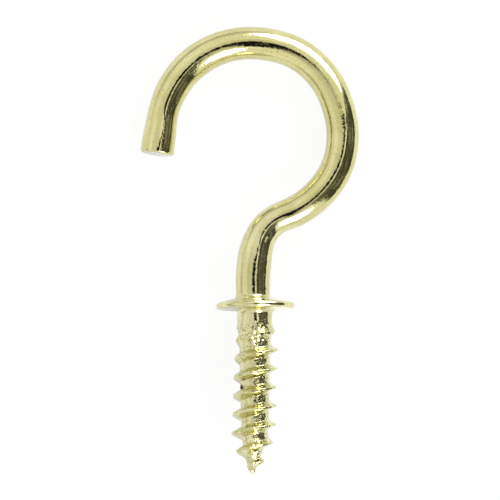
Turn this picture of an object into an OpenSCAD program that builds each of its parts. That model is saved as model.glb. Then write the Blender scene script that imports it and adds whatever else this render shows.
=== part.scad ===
// Cup hook: an open ring on a wood screw, cold formed from one length of round wire.
// It lies on a table on the rim of its collar and on its ring, seen from above as drawn:
// +X to the right, +Y from the screw's point to the top of the ring, +Z up.

/* [Wire] */
// Diameter of the round wire, as cut and unbent
wire_d = 2.92; // [2.6:0.02:3.2]
// Diameter that the wire loses to each tighter bend, where it is stretched
stretch_d = 0.04; // [0.03:0.01:0.06]
// Rounding of the edge of the cut end
end_edge_r = 0.25; // [0.1:0.05:0.5]

/* [Ring] */
// Inside diameter of the open ring
ring_inner_d = 13.22; // [11.6:0.02:15]
// Angle that the ring turns through before its straight end
ring_angle = 186; // [175:1:192]
// Length of the straight end
end_len = 3.05; // [1.5:0.05:4.5]

/* [Bends] */
// Inside radius of the tighter sweep below the ring
sweep_inner_r = 5.93; // [5.2:0.01:6.6]
// Angle of that sweep
sweep_angle = 56.6; // [50:0.1:62]
// Inside radius of the bend that offsets the shank from the ring
offset_inner_r = 2.77; // [2.2:0.01:3.4]
// Angle of that bend
offset_angle = 70.9; // [66:0.1:75]
// Height of the straight shank from the collar's seat to the first bend
shank_len = 4.5; // [3:0.1:7]

/* [Collar] */
// Diameter of the collar
collar_d = 6.95; // [6:0.05:8]
// Thickness of the collar's rounded rim
rim_h = 0.58; // [0.45:0.01:0.8]
// Slope of the collar's upper side, in degrees
collar_slope = 14; // [5:1:20]
// Radius of the fillet between the collar's upper side and the shank
shank_fillet_r = 0.35; // [0.2:0.05:0.6]
// Extra diameter of the shank where it was upset into the collar
upset_d = 0.1; // [0.02:0.02:0.3]
// Height of the upset stretch above the seat
upset_h = 3.4; // [2.6:0.1:3.8]
// Radius of the fillet between the seat and the neck
seat_fillet_r = 0.16; // [0.08:0.02:0.4]

/* [Screw] */
// Length of the screw below the seat
screw_len = 14.45; // [12:0.05:18]
// Diameter of the plain neck under the seat
neck_d = 3.0; // [2.8:0.02:3.3]
// Length of the plain neck
neck_len = 1.25; // [0.8:0.05:2.2]
// Diameter of the core at the top of the thread
core_d = 2.74; // [2.5:0.02:2.9]
// Diameter of the core where the point begins
core_end_d = 2.36; // [2.1:0.02:2.5]
// Length of the tapered point
point_len = 3.15; // [2.4:0.05:4]
// Diameter of the nose at the very end of the point
nose_d = 0.4; // [0.2:0.02:0.6]

/* [Thread] */
// Outside diameter of the thread
thread_d = 3.9; // [3.5:0.05:4.3]
// Distance from one turn to the next
pitch = 1.63; // [1.3:0.01:1.9]
// Width of the ridge at its foot
ridge_w = 0.95; // [0.6:0.05:1.1]
// Length over which the ridge grows from the neck to its full height
run_in = 2.2; // [1:0.1:3.5]
// Height of the ridge just above the nose
nose_ridge_h = 0.48; // [0.2:0.02:0.6]
// Length of the nose, over which the ridge runs out
nose_len = 1.1; // [0.6:0.1:1.5]
// Flat steps in each turn of the thread
turn_steps = 36; // [24:4:48]

/* [Hidden] */
$fn = 96;

brass = [0.82, 0.8, 0.58];
wire_r = wire_d / 2;
collar_r = collar_d / 2;
neck_r = neck_d / 2;
rim_r = rim_h / 2;
foot_r = wire_r + upset_d / 2;

// The wire's run is a chain of places [x, y, heading], drawn from the seat to the cut end.
// A turn to the left is positive and a turn to the right is negative.
function ahead(p, l) = [p.x + l * cos(p[2]), p.y + l * sin(p[2]), p[2]];
function bend_centre(p, r, turn) =
    let (side = sign(turn)) [p.x - side * r * sin(p[2]), p.y + side * r * cos(p[2])];
function round_bend(p, r, turn) =
    let (c = bend_centre(p, r, turn), side = sign(turn), h = p[2] + turn)
    [c.x + side * r * sin(h), c.y - side * r * cos(h), h];

ring_wire_r = wire_r - stretch_d / 2;
sweep_wire_r = ring_wire_r - stretch_d / 2;
offset_wire_r = sweep_wire_r - stretch_d / 2;
offset_r = offset_inner_r + offset_wire_r;
sweep_r = sweep_inner_r + sweep_wire_r;
ring_r = ring_inner_d / 2 + ring_wire_r;
lap = 0.15;
seat_at = [0, 0, 90];
offset_at = ahead(seat_at, shank_len);
sweep_at = round_bend(offset_at, offset_r, -offset_angle);
ring_at = round_bend(sweep_at, sweep_r, sweep_angle);
end_at = round_bend(ring_at, ring_r, ring_angle);
end_face = ahead(end_at, end_len);
ring_centre = bend_centre(ring_at, ring_r, ring_angle);

// Centres of the collar's rounded rim and of the two fillets
rim_c = [collar_r - rim_r, rim_r];
shank_fillet_x = foot_r + shank_fillet_r;
shank_fillet_c = [shank_fillet_x, rim_c.y
    + (rim_r + shank_fillet_r - (shank_fillet_x - rim_c.x) * sin(collar_slope)) / cos(collar_slope)];
seat_fillet_c = [neck_r + seat_fillet_r, -seat_fillet_r];
arc_steps = 12;
function arc(c, r, first, last) =
    [for (i = [0:arc_steps]) let (a = first + (last - first) * i / arc_steps) c + r * [cos(a), sin(a)]];

// The hook's centre of mass, from pieces [volume, x, y]
wire_area = PI * ring_wire_r * ring_wire_r;
function straight_mass(p, l) = let (m = ahead(p, l / 2)) [wire_area * l, m.x, m.y];
function bend_mass(p, r, turn) =
    let (
        c = bend_centre(p, r, turn),
        half = abs(turn) / 2,
        arm = r * sin(half) / (half * PI / 180),
        out = p[2] + turn / 2 - sign(turn) * 90
    )
    [wire_area * r * abs(turn) * PI / 180, c.x + arm * cos(out), c.y + arm * sin(out)];
core_mean_r = (core_d + core_end_d) / 4;
body_len = screw_len - point_len;
ridge_mean_area = ridge_w * (thread_d / 2 - core_mean_r) / 2;
masses = [
    straight_mass(seat_at, shank_len),
    bend_mass(offset_at, offset_r, -offset_angle),
    bend_mass(sweep_at, sweep_r, sweep_angle),
    bend_mass(ring_at, ring_r, ring_angle),
    straight_mass(end_at, end_len),
    [PI * (collar_r * collar_r - wire_r * wire_r) * rim_h, 0, rim_r],
    [PI * core_mean_r * core_mean_r * body_len, 0, -body_len / 2],
    [PI * core_mean_r * core_mean_r * point_len / 3, 0, -body_len - point_len / 4],
    [ridge_mean_area * PI * thread_d * body_len / pitch, 0, -(neck_len + body_len) / 2],
];
function total(values) = values * [for (v = values) 1];
mass_all = total([for (m = masses) m[0]]);
mass_c = [total([for (m = masses) m[0] * m[1]]), total([for (m = masses) m[0] * m[2]])] / mass_all;

// At rest the hook touches the table at the rim of the collar and at one point of the ring.
// The line through both points passes under the centre of mass, which gives the point's bearing.
touch = atan2(mass_c.x, mass_c.y)
    + asin((mass_c.x * (ring_centre.y - rim_r) - mass_c.y * ring_centre.x) / (ring_r * norm(mass_c)));
reach = ring_r + ring_centre.x * sin(touch) + (ring_centre.y - rim_r) * cos(touch);
function lean_sine(passes) = passes == 0 ? 0 :
    let (s = lean_sine(passes - 1) * cos(touch))
    ((collar_r - rim_r) * sqrt(1 - s * s) + rim_r - ring_wire_r) / reach;
lean_passes = 4;
lean = asin(lean_sine(lean_passes));
rest_z = ring_wire_r + (ring_r + ring_centre.x * sin(touch) + ring_centre.y * cos(touch)) * sin(lean);
box_left = end_face.x - wire_r;
box_right = ring_centre.x + ring_r + ring_wire_r;
box_top = ring_centre.y + ring_r + ring_wire_r;
box_mid = [(box_left + box_right) / 2, (box_top - screw_len) / 2 * cos(lean)];

// The thread is one ridge wound round the core. Rows follow the ridge down the screw, so the last
// place of a row is the first place of the row one turn below.
ridge_shape = [[0, 0], [0.38, 0.86], [0.5, 1], [0.62, 0.86], [1, 0]];
row_count = len(ridge_shape);
thread_lead = 0.18;
roll_step = 0.02;
thread_top = neck_len + thread_lead;
turns = floor((screw_len - thread_top - ridge_w - nose_d) / pitch - 1);
last_row = row_count * (turns + 1) - 1;
function core_at(z) = lookup(z, [
    [-screw_len, nose_d / 2],
    [-body_len, core_end_d / 2],
    [-neck_len - run_in / 2, core_d / 2],
    [-neck_len - run_in / 4, neck_r - roll_step],
    [-neck_len, neck_r - roll_step],
]);
function ridge_at(z) = lookup(z, [
    [-screw_len, 0],
    [-screw_len + nose_len, nose_ridge_h],
    [-body_len, (thread_d - core_end_d) / 2],
    [-neck_len - run_in, (thread_d - core_d) / 2],
    [-neck_len - run_in / 2, (thread_d - core_d) / 4],
    [-neck_len, 0],
]);
function thread_point(step, row) =
    let (
        shape = ridge_shape[row % row_count],
        turn = floor(row / row_count) + step / turn_steps,
        z = -thread_top - turn * pitch - shape.x * ridge_w,
        r = core_at(z) + ridge_at(z) * shape.y,
        a = -360 * step / turn_steps
    )
    [r * cos(a), r * sin(a), z];
function thread_id(step, row) =
    step == turn_steps ? thread_id(0, row + row_count) : step + row * turn_steps;

// One bend of the wire from a place on its run. It laps into a thicker neighbour at either end.
module bent_wire(p, r, turn, section_r, lap_first, lap_last) {
    c = bend_centre(p, r, turn);
    side = sign(turn);
    degree = r * PI / 180;
    first = p[2] - side * (90 + lap_first / degree);
    last = p[2] + turn - side * (90 - lap_last / degree);
    translate([c.x, c.y, 0]) rotate([0, 0, min(first, last)])
        rotate_extrude(angle = abs(last - first)) translate([r, 0]) circle(r = section_r);
}

// The straight end of the wire with its eased edge
module cut_end() {
    translate([end_at.x, end_at.y, 0]) rotate([0, 0, end_at[2]]) rotate([0, 90, 0]) rotate_extrude() {
        square([wire_r, end_len - end_edge_r]);
        square([wire_r - end_edge_r, end_len]);
        translate([wire_r - end_edge_r, end_len - end_edge_r]) circle(r = end_edge_r);
    }
}

// Half section of the shank, the collar and the neck, from the screw's axis outwards
module collar_section() {
    polygon(concat(
        [[0, shank_len], [wire_r, shank_len], [wire_r, upset_h]],
        arc(shank_fillet_c, shank_fillet_r, 180, 270 - collar_slope),
        arc(rim_c, rim_r, 90 - collar_slope, -90),
        arc(seat_fillet_c, seat_fillet_r, 90, 180),
        [[neck_r, -neck_len], [0, -neck_len]]
    ));
}

// The threaded core and gimlet point below the neck, hanging from the seat along -Z
module threaded_point() {
    rim = turn_steps * (last_row + 1);
    nose = rim + turn_steps;
    last = turn_steps - 1;
    top_r = core_at(-neck_len);
    points = concat(
        [for (row = [0:last_row], step = [0:last]) thread_point(step, row)],
        [for (step = [0:last])
            let (a = -360 * step / turn_steps) [top_r * cos(a), top_r * sin(a), -neck_len]],
        [[0, 0, -screw_len]]
    );
    faces = concat(
        // The ridge and the core between its turns
        [for (row = [0:last_row - 1], step = [0:last], half = [0, 1])
            if (step < last || row + row_count < last_row)
                let (
                    a = thread_id(step, row),
                    b = thread_id(step, row + 1),
                    c = thread_id(step + 1, row + 1),
                    d = thread_id(step + 1, row)
                )
                half == 0 ? [a, b, c] : [a, c, d]],
        // The level top and the plain strip above the first turn
        [[for (step = [0:last]) rim + step]],
        [for (step = [0:last - 1], half = [0, 1])
            half == 0 ? [rim + step, thread_id(step, 0), thread_id(step + 1, 0)]
                : [rim + step, thread_id(step + 1, 0), rim + step + 1]],
        [for (row = [0:row_count - 1]) [thread_id(last, 0), thread_id(0, row + 1), thread_id(0, row)]],
        [[thread_id(last, 0), thread_id(0, 0), rim], [thread_id(last, 0), rim, rim + last]],
        // The nose below the last turn
        [for (step = [0:last - 1])
            [thread_id(step, last_row), nose, thread_id(step + 1, last_row)]],
        [for (row = [last_row - row_count:last_row - 1])
            [thread_id(0, last_row), thread_id(last, row), thread_id(last, row + 1)]],
        [[thread_id(0, last_row), thread_id(last, last_row), nose]]
    );
    polyhedron(points = points, faces = faces, convexity = 10);
}

// Turns the screw's own +Z to the drawing's +Y, its front side up
module along_shank() {
    rotate([-90, 0, 0]) children();
}

// Leans the flat hook over until it rests, and sets it on the table over the middle of its box
module laid_down() {
    translate([-box_mid.x, -box_mid.y, rest_z])
        rotate(a = lean, v = [-cos(touch), sin(touch), 0]) children();
}

module cup_hook() {
    color(brass) laid_down() union() {
        along_shank() {
            rotate_extrude() collar_section();
            threaded_point();
        }
        bent_wire(offset_at, offset_r, -offset_angle, offset_wire_r, lap, lap);
        bent_wire(sweep_at, sweep_r, sweep_angle, sweep_wire_r, 0, lap);
        bent_wire(ring_at, ring_r, ring_angle, ring_wire_r, 0, lap);
        cut_end();
    }
}

cup_hook();
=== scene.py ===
"""A brass plated cup hook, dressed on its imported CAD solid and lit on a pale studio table."""

import math

import bmesh
import bpy
from mathutils import Matrix, Vector, noise


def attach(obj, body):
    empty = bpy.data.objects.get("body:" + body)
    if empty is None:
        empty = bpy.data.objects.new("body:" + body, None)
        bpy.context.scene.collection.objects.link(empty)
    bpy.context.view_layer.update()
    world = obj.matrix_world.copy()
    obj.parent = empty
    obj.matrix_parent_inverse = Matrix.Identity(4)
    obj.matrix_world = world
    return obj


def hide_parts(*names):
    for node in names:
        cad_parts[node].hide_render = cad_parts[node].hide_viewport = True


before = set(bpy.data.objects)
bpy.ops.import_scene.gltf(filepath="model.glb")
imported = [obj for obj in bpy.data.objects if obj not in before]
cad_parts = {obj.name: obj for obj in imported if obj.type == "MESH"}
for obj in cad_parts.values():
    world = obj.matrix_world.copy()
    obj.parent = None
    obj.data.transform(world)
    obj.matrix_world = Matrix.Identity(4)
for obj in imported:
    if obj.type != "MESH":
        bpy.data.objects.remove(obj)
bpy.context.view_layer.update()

# Lengths are in millimetres until the finished hook is laid down, as in the CAD source.
MM = 0.001

# The run of the wire's middle from the collar's seat, as the length of each straight stretch and the
# radius and angle of each bend. A positive angle turns to the left.
SHANK_LENGTH = 4.5
OFFSET_RADIUS, OFFSET_ANGLE = 4.17, -70.9
SWEEP_RADIUS, SWEEP_ANGLE = 7.35, 56.6
RING_RADIUS, RING_ANGLE = 8.05, 186.0
END_LENGTH = 3.05
END_ROUNDING = 0.2
RUN = (
    (SHANK_LENGTH, None), (OFFSET_RADIUS, OFFSET_ANGLE), (SWEEP_RADIUS, SWEEP_ANGLE),
    (RING_RADIUS, RING_ANGLE), (END_LENGTH, None),
)

# Radii of the wire at the ring and at its cut end
RING_WIRE_RADIUS = 1.44
END_WIRE_RADIUS = 1.46

# The collar and the screw, which hangs down from the seat
COLLAR_RADIUS = 3.473
RIM_RADIUS = 0.29
COLLAR_SLOPE = 14.0
COLLAR_TILT = 0.5
COLLAR_TOP = 1.4
SHANK_FILLET = 0.35
SEAT_FILLET = 0.5
NECK_RADIUS = 1.53
NECK_LENGTH = 1.25
SCREW_LENGTH = 14.45
POINT_LENGTH = 3.15
NOSE_RADIUS = 0.17
CORE_RADIUS, CORE_END_RADIUS = 1.37, 1.18
THREAD_RADIUS = 1.95
THREAD_LEAD = 0.18
PITCH = 1.63
RIDGE_WIDTH = 0.98
RUN_IN = 2.2
ROLL_STEP = 0.02
NOSE_RIDGE, NOSE_LENGTH = 0.48, 1.1

# Diameters of the drawn wire by distance from the seat: thick where it was upset, thin where it
# was stretched over the bending pins
WIRE_DIAMETERS = (
    (0.6, 2.98), (2.5, 3.02), (4.2, 3.05), (5.4, 2.93), (6.6, 2.76), (9.3, 2.68), (10.6, 2.78),
    (13.5, 2.84), (17.0, 2.875), (22.0, 2.885), (26.0, 2.86), (28.0, 2.88), (33.0, 2.885), (36.0, 2.92),
    (40.0, 2.84), (42.3, 2.71), (45.0, 2.96), (46.0, 2.98),
)
# How far the middle of the rod strays to the left of a true run, by distance from the seat
STRAY = (
    (-14.55, 0.22), (-13.3, 0.23), (-11.4, 0.02), (-9.0, 0.0), (-0.6, 0.0), (-0.1, -0.05),
    (0.7, -0.05), (1.2, 0.15), (2.6, 0.155), (4.3, 0.03), (5.7, -0.07), (7.6, -0.03), (9.5, -0.09),
    (13.0, -0.05), (16.0, -0.075), (18.5, -0.028), (21.5, 0.03), (24.0, -0.05), (27.0, -0.09),
    (30.5, 0.02), (35.3, -0.01), (37.0, 0.0), (41.5, 0.065), (46.2, 0.06),
)

# How far the crest of the thread stands out more on the left than the core does, and how rough the
# rolls left the first turns, by distance from the seat
CREST_LEAN = (
    (-13.4, -0.1), (-12.6, 0.15), (-10.2, 0.1), (-8.6, 0.06), (-7.0, 0.0), (-5.4, -0.07), (-3.9, -0.17),
    (-2.4, -0.1),
)
TORN = ((-3.6, 0.0), (-2.9, 0.08), (-1.7, 0.08), (-1.0, 0.0))

# The hook leans on the rim of its collar and on its ring, at this bearing in degrees from +Y. Two
# small moves keep the crooked wire inside the CAD solid's box.
TOUCH = 12.2148
MOVED_LEFT, LIFTED = 0.02, 0.003

# How finely the rod is divided round it, along its screw and along its wire
SIDES = 128
THREAD_STEP = 0.04
WIRE_STEP = 0.3


def slope_at(pairs, i):
    """The slope of the smooth curve at one of its pairs, which is level at a peak, a dip and an end."""
    if i in (0, len(pairs) - 1):
        return 0.0
    before, after = (
        (high - low) / (last - first)
        for (first, low), (last, high) in ((pairs[i - 1], pairs[i]), (pairs[i], pairs[i + 1]))
    )
    return 2 * before * after / (before + after) if before * after > 0 else 0.0


def curve_list(pairs, at):
    """The value at a place on the smooth curve through a list of (place, value) pairs."""
    if at <= pairs[0][0]:
        return pairs[0][1]
    for i, ((first, low), (last, high)) in enumerate(zip(pairs, pairs[1:])):
        if at <= last:
            length = last - first
            share = (at - first) / length
            eased = share * share * (3 - 2 * share)
            start = slope_at(pairs, i) * length * share * (1 - share) ** 2
            finish = slope_at(pairs, i + 1) * length * share * share * (share - 1)
            return low + (high - low) * eased + start + finish
    return pairs[-1][1]


def line_list(pairs, at):
    """The value at a place in a list of (place, value) pairs, straight between them."""
    if at <= pairs[0][0]:
        return pairs[0][1]
    for (first, low), (last, high) in zip(pairs, pairs[1:]):
        if at <= last:
            return low + (high - low) * (at - first) / (last - first)
    return pairs[-1][1]


def put_in_scene(name, shape, material):
    """An object made of finished mesh code, with one material."""
    mesh = bpy.data.meshes.new(name)
    shape.to_mesh(mesh)
    shape.free()
    mesh.materials.append(material)
    thing = bpy.data.objects.new(name, mesh)
    bpy.context.scene.collection.objects.link(thing)
    return thing


class Outline:
    """The half section of a round rod along +Y, as (radius, y) points from its nose to its cut end."""

    def __init__(self, y):
        self.points = [(0.0, y)]

    def line(self, radius, y, steps=1):
        first_radius, first_y = self.points[-1]
        for i in range(1, steps + 1):
            share = i / steps
            self.points.append((
                first_radius + (radius - first_radius) * share,
                first_y + (y - first_y) * share,
            ))

    def follow(self, radius_at, last, step):
        first = self.points[-1][1]
        steps = max(1, round((last - first) / step))
        for i in range(1, steps + 1):
            y = first + (last - first) * i / steps
            self.points.append((radius_at(y), y))

    def arc(self, centre, radius, first, last, steps):
        for i in range(1, steps + 1):
            turn = math.radians(first + (last - first) * i / steps)
            self.points.append((centre[0] + radius * math.cos(turn), centre[1] + radius * math.sin(turn)))

    def turned(self):
        """The rod that the half section makes, with each point's distance along it kept as "along"."""
        rod = bmesh.new()
        along = rod.verts.layers.float.new("along")
        row = [rod.verts.new((radius, y, 0)) for radius, y in self.points]
        for v in row:
            v[along] = v.co.y
        edges = [rod.edges.new(pair) for pair in zip(row, row[1:])]
        bmesh.ops.spin(
            rod, geom=row + edges, axis=(0, 1, 0), cent=(0, 0, 0),
            angle=math.tau, steps=SIDES, use_merge=True,
        )
        bmesh.ops.remove_doubles(rod, verts=rod.verts, dist=1e-5)
        return rod


def core_radius(y):
    return line_list((
        (-SCREW_LENGTH, NOSE_RADIUS),
        (-SCREW_LENGTH + POINT_LENGTH, CORE_END_RADIUS),
        (-NECK_LENGTH - RUN_IN / 2, CORE_RADIUS),
        (-NECK_LENGTH - RUN_IN / 4, NECK_RADIUS - ROLL_STEP),
        (-NECK_LENGTH, NECK_RADIUS),
    ), y)


def ridge_height(y):
    return line_list((
        (-SCREW_LENGTH, 0),
        (-SCREW_LENGTH + NOSE_LENGTH, NOSE_RIDGE),
        (-SCREW_LENGTH + POINT_LENGTH, THREAD_RADIUS - CORE_END_RADIUS),
        (-NECK_LENGTH - RUN_IN, THREAD_RADIUS - CORE_RADIUS),
        (-NECK_LENGTH - RUN_IN / 2, (THREAD_RADIUS - CORE_RADIUS) / 2),
        (-NECK_LENGTH, 0),
    ), y)


def ridge_share(y, turn, thinness):
    """How high the ridge stands at a height and a part of a turn, from 0 at its foot to 1 at its crest."""
    below = -y - NECK_LENGTH - THREAD_LEAD - turn * PITCH
    if below < 0:
        return 0.0
    across = (below % PITCH) / RIDGE_WIDTH
    if across > 1:
        return 0.0
    off_crest = abs(2 * across - 1)
    crest_rounding = 0.22
    peak = math.hypot(1, crest_rounding) - crest_rounding
    share = (math.hypot(1, crest_rounding) - math.hypot(off_crest, crest_rounding)) / peak
    seam_depth, seam_width = 0.10, 0.2
    seam = seam_depth * max(0.0, 1 - off_crest / seam_width)
    return share ** thinness - seam


def draw_screw(outline):
    """The core from its nose to the neck, on which the thread is rolled."""
    outline.arc((0.0, -SCREW_LENGTH + NOSE_RADIUS), NOSE_RADIUS, -78, -12, 8)
    outline.follow(core_radius, -NECK_LENGTH, THREAD_STEP)
    outline.line(NECK_RADIUS, -SEAT_FILLET, 10)


def draw_collar(outline):
    """The fillet under the seat, the flat seat, the rounded rim, and the sloping top of the collar."""
    rim = (COLLAR_RADIUS - RIM_RADIUS, RIM_RADIUS)
    slope = math.radians(COLLAR_SLOPE)
    fillet_x = line_list(WIRE_DIAMETERS, 1.0) / 2 + SHANK_FILLET
    drop = (fillet_x - rim[0]) * math.sin(slope)
    fillet_y = rim[1] + (RIM_RADIUS + SHANK_FILLET - drop) / math.cos(slope)
    outline.arc((NECK_RADIUS + SEAT_FILLET, -SEAT_FILLET), SEAT_FILLET, 180, 90, 8)
    outline.line(rim[0], 0.0, 4)
    outline.arc(rim, RIM_RADIUS, -90, 90 - COLLAR_SLOPE, 20)
    outline.line(fillet_x - SHANK_FILLET * math.sin(slope), fillet_y - SHANK_FILLET * math.cos(slope), 8)
    outline.arc((fillet_x, fillet_y), SHANK_FILLET, 270 - COLLAR_SLOPE, 180, 10)


def stretch_length(size, angle):
    return size if angle is None else size * math.radians(abs(angle))


def run_length():
    return sum(stretch_length(size, angle) for size, angle in RUN)


def draw_wire(outline):
    """The shank and the rest of the wire, still straight, up to its cut end with an eased edge."""
    end = run_length()
    outline.follow(lambda y: curve_list(WIRE_DIAMETERS, y) / 2, end - END_ROUNDING, WIRE_STEP)
    inner = outline.points[-1][0] - END_ROUNDING
    outline.arc((inner, end - END_ROUNDING), END_ROUNDING, 0, 90, 6)
    outline.line(0.0, end, 5)


def roll_thread(rod):
    """Raises the ridge, with its worn crest, its nicks and the lumps that rolling leaves."""
    ridge = rod.verts.layers.float.new("ridge")
    top = -NECK_LENGTH + 0.4
    for v in rod.verts:
        y = v.co.y
        radius = math.hypot(v.co.x, v.co.z)
        if y > top or radius < NOSE_RADIUS * 0.5:
            continue
        out = Vector((v.co.x, 0, v.co.z)) / radius
        height = ridge_height(y)
        thinness = 1.15 + 0.35 * out.x
        share = ridge_share(y, math.atan2(v.co.z, v.co.x) / math.tau % 1, thinness)
        place = Vector((out.x * 2, y, out.z * 2))
        wear = noise.noise(place * 1.1) * 0.10 + noise.noise(place * 3.7 + Vector((0, 4, 0))) * 0.08
        nick = max(0.0, noise.noise(place * 2.3 + Vector((2, 5, 9))) - 0.40) * 0.9
        lumps = noise.fractal(place * 3.0, 1.0, 2.0, 4) * 0.03
        lumps += max(-0.2, noise.fractal(place * 3.4, 0.8, 2.0, 3)) * curve_list(TORN, y)
        fade = min(1.0, (top - y) / 0.6, max(0.2, (y + SCREW_LENGTH) / 1.5))
        rise = share * height * (1 + wear * share - nick * share * share)
        rise -= out.x * line_list(CREST_LEAN, y) * share
        v.co += out * (rise + lumps * fade)
        v[ridge] = share * min(1.0, height / 0.3)


def remember_drawn(rod):
    """Keeps each point's place on the straight rod, which draw lines and grain follow round the bends."""
    drawn = rod.verts.layers.float_vector.new("drawn")
    cut = rod.verts.layers.float.new("cut")
    end = run_length()
    for v in rod.verts:
        v[drawn] = v.co
        v[cut] = 1.0 if v.co.y > end - 0.02 else 0.0


def sway(rod):
    """Moves each ring off the true run by as much as the real rod strays, and tilts the collar."""
    tilt = math.tan(math.radians(COLLAR_TILT))
    along = rod.verts.layers.float["along"]
    stray = {at: curve_list(STRAY, at) for at in {v[along] for v in rod.verts}}
    for v in rod.verts:
        beyond = math.hypot(v.co.x, v.co.z) - NECK_RADIUS - SEAT_FILLET
        if -0.01 <= v[along] <= COLLAR_TOP and beyond > 0:
            v.co.y += v.co.x * tilt * min(1.0, beyond / 0.8)
        v.co.x -= stray[v[along]]


def run_place(along):
    """Where the run is at a distance from the seat, as (x, y, heading), in the flat hook's plane."""
    x, y, heading = 0.0, 0.0, math.radians(90)
    for size, angle in RUN:
        part = min(along, stretch_length(size, angle))
        if angle is None:
            x += part * math.cos(heading)
            y += part * math.sin(heading)
        else:
            side = math.copysign(1, angle)
            turned = heading + side * part / size
            x += side * size * (math.sin(turned) - math.sin(heading))
            y -= side * size * (math.cos(turned) - math.cos(heading))
            heading = turned
        along -= part
        if along <= 0:
            break
    return x, y, heading


def bend_rod(rod):
    """Bends the straight wire above the collar round its offset, its sweep and its ring."""
    along = rod.verts.layers.float["along"]
    bent = {}
    for v in rod.verts:
        at = v[along]
        if at > SHANK_LENGTH:
            if at not in bent:
                x, y, heading = run_place(at)
                bent[at] = (
                    Matrix.Translation((x, y, 0))
                    @ Matrix.Rotation(heading - math.radians(90), 4, "Z")
                    @ Matrix.Translation((0, -at, 0))
                )
            v.co = bent[at] @ v.co


def ring_centre():
    x, y, heading = run_place(run_length() - END_LENGTH - RING_RADIUS * math.radians(RING_ANGLE))
    return Vector((x - RING_RADIUS * math.sin(heading), y + RING_RADIUS * math.cos(heading), 0))


def laid_down():
    """The turn and move that lay the flat hook on the table, as the CAD solid lies."""
    wire = RING_WIRE_RADIUS
    centre = ring_centre()
    end_x = run_place(run_length())[0]
    touch = math.radians(TOUCH)
    ahead = centre.x * math.sin(touch) + centre.y * math.cos(touch)
    reach = RING_RADIUS + ahead - RIM_RADIUS * math.cos(touch)
    # The lean tips the collar's disc too, which changes the lean a little, so it is found in passes.
    lean_sine = 0.0
    for _ in range(4):
        tip = lean_sine * math.cos(touch)
        lean_sine = ((COLLAR_RADIUS - RIM_RADIUS) * math.sqrt(1 - tip * tip) + RIM_RADIUS - wire) / reach
    lean = math.asin(lean_sine)
    rest_z = wire + (RING_RADIUS + ahead) * lean_sine + LIFTED
    middle_x = (end_x - END_WIRE_RADIUS + centre.x + RING_RADIUS + wire) / 2 + MOVED_LEFT
    middle_y = (centre.y + RING_RADIUS + wire - SCREW_LENGTH) / 2 * math.cos(lean)
    axis = Vector((-math.cos(touch), math.sin(touch), 0))
    turned = Matrix.Translation((-middle_x, -middle_y, rest_z)) @ Matrix.Rotation(lean, 4, axis)
    return Matrix.Scale(MM, 4) @ turned


def make_cup_hook():
    outline = Outline(-SCREW_LENGTH)
    draw_screw(outline)
    draw_collar(outline)
    draw_wire(outline)
    rod = outline.turned()
    remember_drawn(rod)
    roll_thread(rod)
    sway(rod)
    bend_rod(rod)
    bmesh.ops.transform(rod, matrix=laid_down(), verts=rod.verts)
    bmesh.ops.recalc_face_normals(rod, faces=rod.faces)
    for face in rod.faces:
        face.smooth = True
    return put_in_scene("cup_hook_body", rod, brass_plate())


class Value:
    """A number that a shader socket gives, for maths written as plain expressions."""

    def __init__(self, paint, socket):
        self.paint = paint
        self.socket = socket

    def _math(self, operation, first, second):
        node = self.paint.node("ShaderNodeMath", {"operation": operation}, {0: first, 1: second})
        return Value(self.paint, node.outputs[0])

    def __add__(self, other):
        return self._math("ADD", self, other)

    def __radd__(self, other):
        return self._math("ADD", other, self)

    def __sub__(self, other):
        return self._math("SUBTRACT", self, other)

    def __rsub__(self, other):
        return self._math("SUBTRACT", other, self)

    def __mul__(self, other):
        return self._math("MULTIPLY", self, other)

    def __rmul__(self, other):
        return self._math("MULTIPLY", other, self)

    def at_most(self, other):
        return self._math("MINIMUM", self, other)


class Paint:
    """The node tree of one material or of the world."""

    def __init__(self, owner):
        owner.use_nodes = True
        self.tree = owner.node_tree
        self.tree.nodes.clear()

    def node(self, kind, settings=None, sockets=None):
        made = self.tree.nodes.new(kind)
        for name, value in (settings or {}).items():
            setattr(made, name, value)
        for name, value in (sockets or {}).items():
            if isinstance(value, Value):
                value = value.socket
            if isinstance(value, bpy.types.NodeSocket):
                self.tree.links.new(value, made.inputs[name])
            else:
                made.inputs[name].default_value = value
        return made

    def value(self, node, output=0):
        return Value(self, node.outputs[output])

    def attribute(self, name, output="Fac"):
        return self.node("ShaderNodeAttribute", {"attribute_name": name}).outputs[output]

    def scaled(self, vector, scale):
        node = self.node("ShaderNodeVectorMath", {"operation": "MULTIPLY"}, {0: vector, 1: scale})
        return node.outputs[0]

    def noise(self, vector, scale, detail=2.0, roughness=0.5):
        sockets = {"Vector": vector, "Scale": scale, "Detail": detail, "Roughness": roughness}
        return self.value(self.node("ShaderNodeTexNoise", {}, sockets))

    def step(self, value, low, high):
        """0 below low, 1 above high, and eased between."""
        sockets = {"Value": value, "From Min": low, "From Max": high}
        return self.value(self.node("ShaderNodeMapRange", {"interpolation_type": "SMOOTHSTEP"}, sockets))

    def near(self, vector, centre, reach):
        """1 at a centre, falling to 0 on the egg round it that reaches as far as given along each axis."""
        away = self.node("ShaderNodeVectorMath", {"operation": "SUBTRACT"}, {0: vector, 1: centre})
        shares = self.scaled(away.outputs[0], tuple(1 / length for length in reach))
        length = self.node("ShaderNodeVectorMath", {"operation": "LENGTH"}, {0: shares})
        return self.step(self.value(length, "Value"), 1.0, 0.3)

    def mix(self, share, first, second):
        """A colour between two colours."""
        sockets = {0: share, 6: first, 7: second}
        return self.node("ShaderNodeMix", {"data_type": "RGBA"}, sockets).outputs[2]

    def finish(self, kind, shader):
        self.node(kind, {}, {"Surface": shader})


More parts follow.
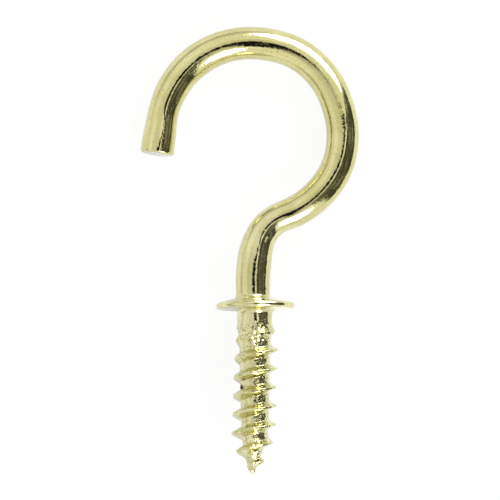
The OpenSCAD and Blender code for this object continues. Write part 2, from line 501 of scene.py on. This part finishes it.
def brass_plate():
    """Thin bright brass plating on drawn steel wire."""
    material = bpy.data.materials.new("brass_plate")
    paint = Paint(material)
    drawn = paint.attribute("drawn", "Vector")
    along = paint.value(paint.node("ShaderNodeSeparateXYZ", {}, {0: drawn}), 1)
    ridge = Value(paint, paint.attribute("ridge"))
    cut = Value(paint, paint.attribute("cut"))
    screw = paint.step(along, 0.0, -1.6)
    plain = 1 - screw

    # Patterns in the metal as it was drawn, before the wire was bent
    cloud = paint.noise(drawn, 0.5, 3.0)
    streaks = paint.noise(paint.scaled(drawn, (2.6, 0.10, 2.6)), 1.0, 4.0, 0.65)
    lines = paint.noise(paint.scaled(drawn, (4.5, 0.16, 4.5)), 1.0, 1.5)
    grain = paint.noise(drawn, 4.6, 1.0)
    dents = paint.noise(drawn, 1.3, 2.0)
    specks = paint.step(grain, 0.56, 0.66)
    gritty = paint.step(paint.noise(drawn, 0.32, 1.0), 0.42, 0.58) * plain
    core = screw * (1 - ridge * 0.6)
    pits = paint.step(paint.noise(drawn, 3.6, 1.0), 0.74, 0.78)
    rings = paint.noise(paint.scaled(drawn, (0.9, 3.6, 0.9)), 1.0, 2.0)

    # A scratch on the offset bend, and a spot of rust on the left of the core
    scratch = paint.near(drawn, (0.56, 6.36, 1.29), (0.075, 0.4, 0.4))
    rust = paint.near(drawn, (-1.32, -6.9, 0.42), (0.5, 0.4, 1.0))

    pale = (0.80, 0.77, 0.41, 1)
    green = (0.66, 0.64, 0.30, 1)
    gold = (0.52, 0.45, 0.14, 1)
    yellow = (0.70, 0.64, 0.20, 1)
    silvery = (0.80, 0.77, 0.48, 1)
    steel = (0.58, 0.58, 0.52, 1)
    pit = (0.20, 0.17, 0.08, 1)
    brown = (0.13, 0.04, 0.001, 1)
    plate = paint.mix(paint.step(cloud, 0.38, 0.62), pale, green)
    plate = paint.mix(paint.step(streaks, 0.46, 0.66) * 0.4, plate, gold)
    plate = paint.mix(paint.step(lines, 0.50, 0.62) * 0.3, plate, gold)
    plate = paint.mix(paint.step(along, 9.0, 14.0) * 0.3, plate, yellow)
    plate = paint.mix(screw * 0.3, plate, silvery)
    plate = paint.mix(specks * (0.25 + screw * 0.35), plate, gold)
    plate = paint.mix(paint.step(rings, 0.46, 0.58) * ridge * 0.55, plate, gold)
    plate = paint.mix(pits * 0.7, plate, pit)
    plate = paint.mix(rust, plate, brown)
    plate = paint.mix(cut * 0.9, plate, steel)

    roughness = 0.02 + lines * 0.05 + specks * 0.14 + screw * 0.03 + (cut + scratch) * 0.3 + rust * 0.95
    height = dents * (0.008 + core * 0.014) + lines * plain * 0.003
    height = height + grain * (0.0007 + gritty * 0.0055 + core * 0.003)
    height = height + specks * (0.0006 + core * 0.012) + rings * ridge * 0.02
    height = height + scratch * 0.06 - pits * 0.015
    bump = paint.node("ShaderNodeBump", {}, {"Strength": 1.0, "Distance": MM, "Height": height})
    shader = paint.node("ShaderNodeBsdfPrincipled", {}, {
        "Base Color": plate, "Metallic": 1 - rust, "Roughness": roughness, "Normal": bump.outputs[0],
        "Coat Weight": 1 - rust, "Coat Roughness": 0.12, "Coat IOR": 1.5,
    })
    paint.finish("ShaderNodeOutputMaterial", shader.outputs[0])
    return material


def seen_directly(paint):
    """1 for the rays of the camera and of mirrors and glass, and 0 for the light on the object."""
    path = paint.node("ShaderNodeLightPath")
    camera, glossy, clear = (
        paint.value(path, name) for name in ("Is Camera Ray", "Is Glossy Ray", "Is Transmission Ray")
    )
    return (camera + glossy + clear).at_most(1.0)


def white_floor():
    """A pale floor that shows as white; the metal also shows its shade under the hook."""
    material = bpy.data.materials.new("white_floor")
    paint = Paint(material)

    def sheet(colour, glow):
        matt = paint.node("ShaderNodeBsdfDiffuse", {}, {"Color": (colour, colour, colour, 1)})
        shine = paint.node("ShaderNodeEmission", {}, {"Strength": seen_directly(paint) * glow})
        return paint.node("ShaderNodeAddShader", {}, {0: matt.outputs[0], 1: shine.outputs[0]}).outputs[0]

    glossy = paint.value(paint.node("ShaderNodeLightPath"), "Is Glossy Ray")
    floor = paint.node("ShaderNodeMixShader", {}, {0: glossy, 1: sheet(0.12, 0.92), 2: sheet(0.75, 0.36)})
    paint.finish("ShaderNodeOutputMaterial", floor.outputs[0])
    return material


def flat_glow(name, level):
    material = bpy.data.materials.new(name)
    paint = Paint(material)
    glow = paint.node("ShaderNodeEmission", {}, {"Color": (level, level, level, 1), "Strength": 1.0})
    paint.finish("ShaderNodeOutputMaterial", glow.outputs[0])
    return material


def make_floor():
    sheet = bmesh.new()
    bmesh.ops.create_grid(sheet, x_segments=1, y_segments=1, size=1.5)
    put_in_scene("floor", sheet, white_floor())


def reflected_only(thing):
    """The thing shows in the metal and nowhere else."""
    thing.visible_camera = False
    thing.visible_diffuse = False
    thing.visible_transmission = False
    thing.visible_volume_scatter = False
    thing.visible_shadow = False


def fade_in(paint, glow):
    """Finishes a strip's material, which is clear at its soft edges."""
    clear = paint.node("ShaderNodeBsdfTransparent")
    share = paint.step(paint.attribute("solid"), 0.0, 1.0)
    mixed = paint.node("ShaderNodeMixShader", {}, {0: share, 1: clear.outputs[0], 2: glow.outputs[0]})
    paint.finish("ShaderNodeOutputMaterial", mixed.outputs[0])


def dark_room():
    """The dim room behind the open side of the tent, with a few paler things in it."""
    material = bpy.data.materials.new("dark_room")
    paint = Paint(material)
    place = paint.node("ShaderNodeTexCoord").outputs["Object"]
    things = paint.step(paint.noise(place, 9.0, 3.0, 0.6), 0.48, 0.68)
    shade = paint.mix(things, (0.065, 0.065, 0.055, 1), (0.34, 0.33, 0.30, 1))
    fade_in(paint, paint.node("ShaderNodeEmission", {}, {"Color": shade, "Strength": 1.0}))
    return material


def dark_lens():
    """The black front of the lens and what surrounds it."""
    material = bpy.data.materials.new("dark_lens")
    paint = Paint(material)
    fade_in(paint, paint.node("ShaderNodeEmission", {}, {"Color": (0.01, 0.01, 0.01, 1), "Strength": 1.0}))
    return material


def make_dark_strip(name, rows, edge, material):
    """A strip through rows of two (x, y, z) ends, with soft edges, that shows only in the metal."""
    strip = bmesh.new()
    solid = strip.verts.layers.float.new("solid")
    ladder = []
    for row in rows:
        first, last = (Vector(end) for end in row)
        points = [strip.verts.new(first.lerp(last, share)) for share in (0.0, edge, 1.0 - edge, 1.0)]
        for point in points[1:3]:
            point[solid] = 1.0
        ladder.append([strip.edges.new(pair) for pair in zip(points, points[1:])])
    for first, last in zip(ladder, ladder[1:]):
        bmesh.ops.bridge_loops(strip, edges=first + last)
    reflected_only(put_in_scene(name, strip, material))


def make_tent_opening():
    """The open side of the light tent, from the table near the hook up to a blunt top."""
    rows = (
        ((0.05, -0.03, 0.0004), (0.05, 0.03, 0.0004)),
        ((0.45, -0.38, 0.0004), (0.45, 0.32, 0.0004)),
        ((0.145, -0.10, 0.60), (0.31, 0.19, 0.60)),
    )
    make_dark_strip("tent_opening", rows, 0.08, dark_room())


def make_lens_slit(camera_z):
    """The dark gap in the top of the tent that the camera looks through, as (left, right, y) rows."""
    height = camera_z + 0.025
    gap = (
        (-0.025, 0.03, -0.14), (-0.035, 0.045, -0.06), (-0.045, 0.06, 0.0), (-0.04, 0.08, 0.037),
        (-0.018, 0.09, 0.064), (0.035, 0.115, 0.08), (0.08, 0.16, 0.10),
    )
    rows = [((left, y, height), (right, y, height)) for left, right, y in gap]
    make_dark_strip("lens_slit", rows, 0.2, dark_lens())


def make_softbox(name, azimuth, elevation, distance, width, height, level, shine):
    """An oval lamp that faces the hook, and the brighter cloth before it that the metal shows."""
    lamp = bpy.data.lights.new(name, "AREA")
    lamp.shape = "ELLIPSE"
    lamp.size, lamp.size_y = width, height
    area = math.pi / 4 * width * height
    lamp.energy = math.pi * area * level
    softbox = bpy.data.objects.new(name, lamp)
    bpy.context.scene.collection.objects.link(softbox)
    across = math.cos(math.radians(elevation))
    towards = Vector((
        across * math.cos(math.radians(azimuth)),
        across * math.sin(math.radians(azimuth)),
        math.sin(math.radians(elevation)),
    ))
    disc = bmesh.new()
    bmesh.ops.create_circle(disc, cap_ends=True, segments=64, radius=0.5)
    bmesh.ops.scale(disc, vec=(width, height, 1), verts=disc.verts)
    cloth = put_in_scene(name + "_cloth", disc, flat_glow(name + "_cloth", shine))
    reflected_only(cloth)
    for thing in (softbox, cloth):
        thing.location = towards * distance
        thing.rotation_mode = "QUATERNION"
        thing.rotation_quaternion = towards.to_track_quat("Z", "Y")
    softbox.visible_camera = False
    softbox.visible_glossy = False


def make_world():
    """The white cloth of the tent, dimmer round the lens and, on two sides, down to the table."""
    world = bpy.data.worlds.new("light_tent")
    bpy.context.scene.world = world
    paint = Paint(world)
    direction = paint.node("ShaderNodeTexCoord").outputs["Generated"]
    parts = paint.node("ShaderNodeSeparateXYZ", {}, {0: direction})
    across, ahead, up = (paint.value(parts, axis) for axis in range(3))
    camera = paint.value(paint.node("ShaderNodeLightPath"), "Is Camera Ray")
    low = paint.step(up, -0.05, 0.03) * (1 - paint.step(up, 0.08, 0.40))
    left = paint.step(across * -0.93 - ahead * 0.36, 0.80, 0.97)
    behind = paint.step(ahead * 0.87 - across * 0.5, 0.70, 0.98)
    overhead = paint.step(up * 0.965 - across * 0.25, 0.82, 0.94) * 0.18
    overhead = overhead + paint.step(up * 0.99 - ahead * 0.14, 0.91, 0.995) * 0.26
    haze = paint.step(up, -0.12, 0.12) * (1 - paint.step(up, 0.12, 0.60)) * behind
    dim = low * (left * 0.38 + 0.12) + haze * 0.33 + overhead + 0.02
    strength = (0.4 + seen_directly(paint) * 0.6) * (1 - dim * (1 - camera))
    glow = paint.node("ShaderNodeBackground", {}, {"Color": (1, 1, 1, 1), "Strength": strength})
    paint.finish("ShaderNodeOutputWorld", glow.outputs[0])


def make_camera():
    """Looks straight down on the hook; the frame's width fills the picture at the ring's height."""
    frame_width = 0.0441
    ring_height = 0.0022
    camera_z = 0.275
    lens = bpy.data.cameras.new("camera")
    lens.sensor_width = 36.0
    lens.lens = 36.0 * (camera_z - ring_height) / frame_width
    lens.clip_start, lens.clip_end = 0.01, 10.0
    camera = bpy.data.objects.new("camera", lens)
    camera.location = (0.00002, -0.00008, camera_z)
    bpy.context.scene.collection.objects.link(camera)
    bpy.context.scene.camera = camera
    return camera_z


hook = make_cup_hook()
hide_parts("cup_hook")
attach(hook, "root")

make_floor()
make_world()
camera_z = make_camera()
make_lens_slit(camera_z)
make_tent_opening()
make_softbox(
    "upper_softbox", azimuth=61, elevation=27, distance=0.5, width=0.45, height=0.32, level=4.6, shine=8.0
)
make_softbox(
    "lower_softbox", azimuth=-63, elevation=40, distance=0.5, width=0.25, height=0.30, level=5.0, shine=8.0
)
bpy.context.scene.view_settings.view_transform = "Standard"
